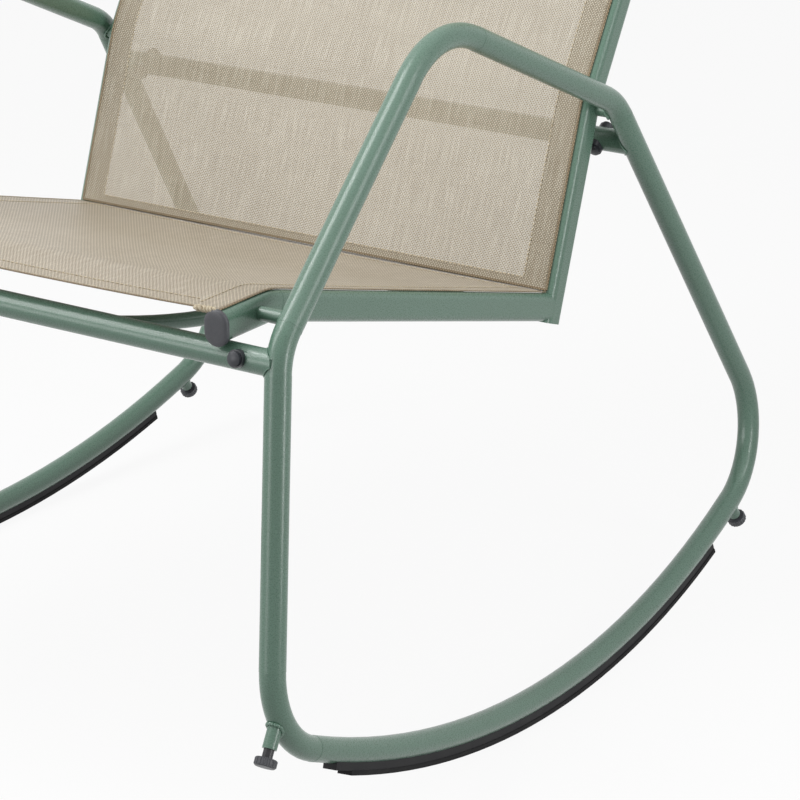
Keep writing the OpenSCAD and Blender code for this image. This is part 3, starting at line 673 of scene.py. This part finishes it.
bm = bmesh.new()
X = Vector((1, 0, 0))
for side, word in ((1, "right"), (-1, "left")):
    loop = tree_of(f"side_frame_{word}")
    for which in ("front", "rear"):
        m = mid(f"{which}_crossbar")
        x = inner_end(f"{which}_stub_{word}", side, 0.002)
        weld(bm, Vector((x, m.y, m.z)), X * side, CROSSBAR_R, loop, STUB_BEAD)
        m = mid(f"{which}_bush_{word}")
        x = inner_end(f"{which}_bush_{word}", side, 0.001)
        weld(bm, Vector((x, m.y, m.z)), X * side, BUSH_R, loop, BUSH_BEAD[which])
    for j in frame["joints"]:
        which = j["name"].split("_")[0]
        if j["name"] == f"{which}_turn_{word}":
            axis = Vector(j["axis"]).normalized()
            weld(bm, Vector(j["pos_m"]), -axis, SLEEVE_R, loop, SLEEVE_BEAD[which])
    rail, back_rail = tree_of(f"seat_rail_{word}"), tree_of(f"back_rail_{word}")
    m = mid("rear_spreader")
    weld(bm, Vector((side * NEAR_RAIL, m.y, m.z)), X * side, SPREADER_R, rail, RAIL_BEAD)
    end, v = bowed_end("front_spreader", side, SPREADER_R, HALF_SLOPE)
    weld(bm, end - v * 0.008, v, SPREADER_R, rail, RAIL_BEAD)
    m = mid("top_tube")
    weld(bm, Vector((side * NEAR_RAIL, m.y, m.z)), X * side, TOP_R, back_rail, RAIL_BEAD)
bmesh.ops.remove_doubles(bm, verts=bm.verts, dist=0.001 * MM)
piece("weld_beads", bm, WELDED)

# Floor and light


def straight_on(tree):
    """1 for rays of the camera and for those that metal and clear parts reflect or let through."""
    path = tree.nodes.new("ShaderNodeLightPath")
    value = path.outputs["Is Camera Ray"]
    for kind in ("Is Glossy Ray", "Is Transmission Ray"):
        larger = tree.nodes.new("ShaderNodeMath")
        larger.operation = "MAXIMUM"
        tree.links.new(value, larger.inputs[0])
        tree.links.new(path.outputs[kind], larger.inputs[1])
        value = larger.outputs[0]
    return value


bm = bmesh.new()
bmesh.ops.create_circle(bm, cap_ends=True, segments=96, radius=14)
mesh = bpy.data.meshes.new("floor")
bm.to_mesh(mesh)
bm.free()
floor = bpy.data.objects.new("floor", mesh)
bpy.context.scene.collection.objects.link(floor)
f = Mat("floor_paper")
f.put("Base Color", rgb(248, 248, 248))
f.put("Roughness", 0.9)
f.put("Specular IOR Level", 0.1)
# Seen straight on it is pale paper; what it throws back up at the object is kept low
dim = f.tree.nodes.new("ShaderNodeBsdfDiffuse")
dim.inputs[0].default_value = rgb(160, 160, 160)
glow = f.tree.nodes.new("ShaderNodeEmission")
paper, mix = f.tree.nodes.new("ShaderNodeMixShader"), f.tree.nodes.new("ShaderNodeMixShader")
paper.inputs[0].default_value = 0.92
for a, b in ((f.bsdf.outputs[0], paper.inputs[1]), (glow.outputs[0], paper.inputs[2]),
             (straight_on(f.tree), mix.inputs[0]), (dim.outputs[0], mix.inputs[1]),
             (paper.outputs[0], mix.inputs[2]), (mix.outputs[0], f.tree.nodes["Material Output"].inputs[0])):
    f.tree.links.new(a, b)
mesh.materials.append(f.mat)

world = bpy.data.worlds.new("studio")
bpy.context.scene.world = world
world.use_nodes = True
w = world.node_tree
for n in list(w.nodes):
    w.nodes.remove(n)
out = w.nodes.new("ShaderNodeOutputWorld")
soft, seen = w.nodes.new("ShaderNodeBackground"), w.nodes.new("ShaderNodeBackground")
soft.inputs[0].default_value, soft.inputs[1].default_value = (0.98, 0.99, 1.0, 1), 0.2
seen.inputs[0].default_value, seen.inputs[1].default_value = (1, 1, 1, 1), 1.0
both = w.nodes.new("ShaderNodeMixShader")
w.links.new(straight_on(w), both.inputs[0])
w.links.new(soft.outputs[0], both.inputs[1])
w.links.new(seen.outputs[0], both.inputs[2])
w.links.new(both.outputs[0], out.inputs[0])

SEAT_MIDDLE = Vector((0, -0.1, 0.45))


def aim(name, data, azimuth, elevation, far):
    """Puts a light at azimuth (0 is the front, 90 the object's own right) and elevation, facing the seat."""
    o = bpy.data.objects.new(name, data)
    bpy.context.scene.collection.objects.link(o)
    a, e = math.radians(azimuth), math.radians(elevation)
    at = Vector((math.sin(a) * math.cos(e), -math.cos(a) * math.cos(e), math.sin(e)))
    o.location = SEAT_MIDDLE + at * far
    o.rotation_mode = "QUATERNION"
    o.rotation_quaternion = (-at).to_track_quat("-Z", "Y")
    return o


def lamp(name, azimuth, elevation, strength, angle):
    """A broad soft light from far away; only its direction counts."""
    data = bpy.data.lights.new(name, "SUN")
    data.energy, data.angle = strength, math.radians(angle)
    aim(name, data, azimuth, elevation, far=4)


def panel(name, azimuth, elevation, far, size, power):
    """A soft box that faces the seat from near by, so that it lights the top more than the foot."""
    data = bpy.data.lights.new(name, "AREA")
    data.shape, data.energy = "RECTANGLE", power
    data.size, data.size_y = size
    aim(name, data, azimuth, elevation, far).visible_camera = False


lamp("front", -28, 8, strength=0.8, angle=30)
panel("key", -44, 42, far=1.7, size=(0.7, 1.1), power=12.5)
panel("left", -52, 70, far=1.5, size=(0.4, 0.9), power=9)
panel("right", 102, 27, far=1.6, size=(0.3, 0.9), power=4)
panel("side", 86, 2, far=1.5, size=(0.22, 0.7), power=4.5)
panel("over", 100, 76, far=1.15, size=(1.4, 1.4), power=2.5)

bpy.context.scene.view_settings.view_transform = "Standard"
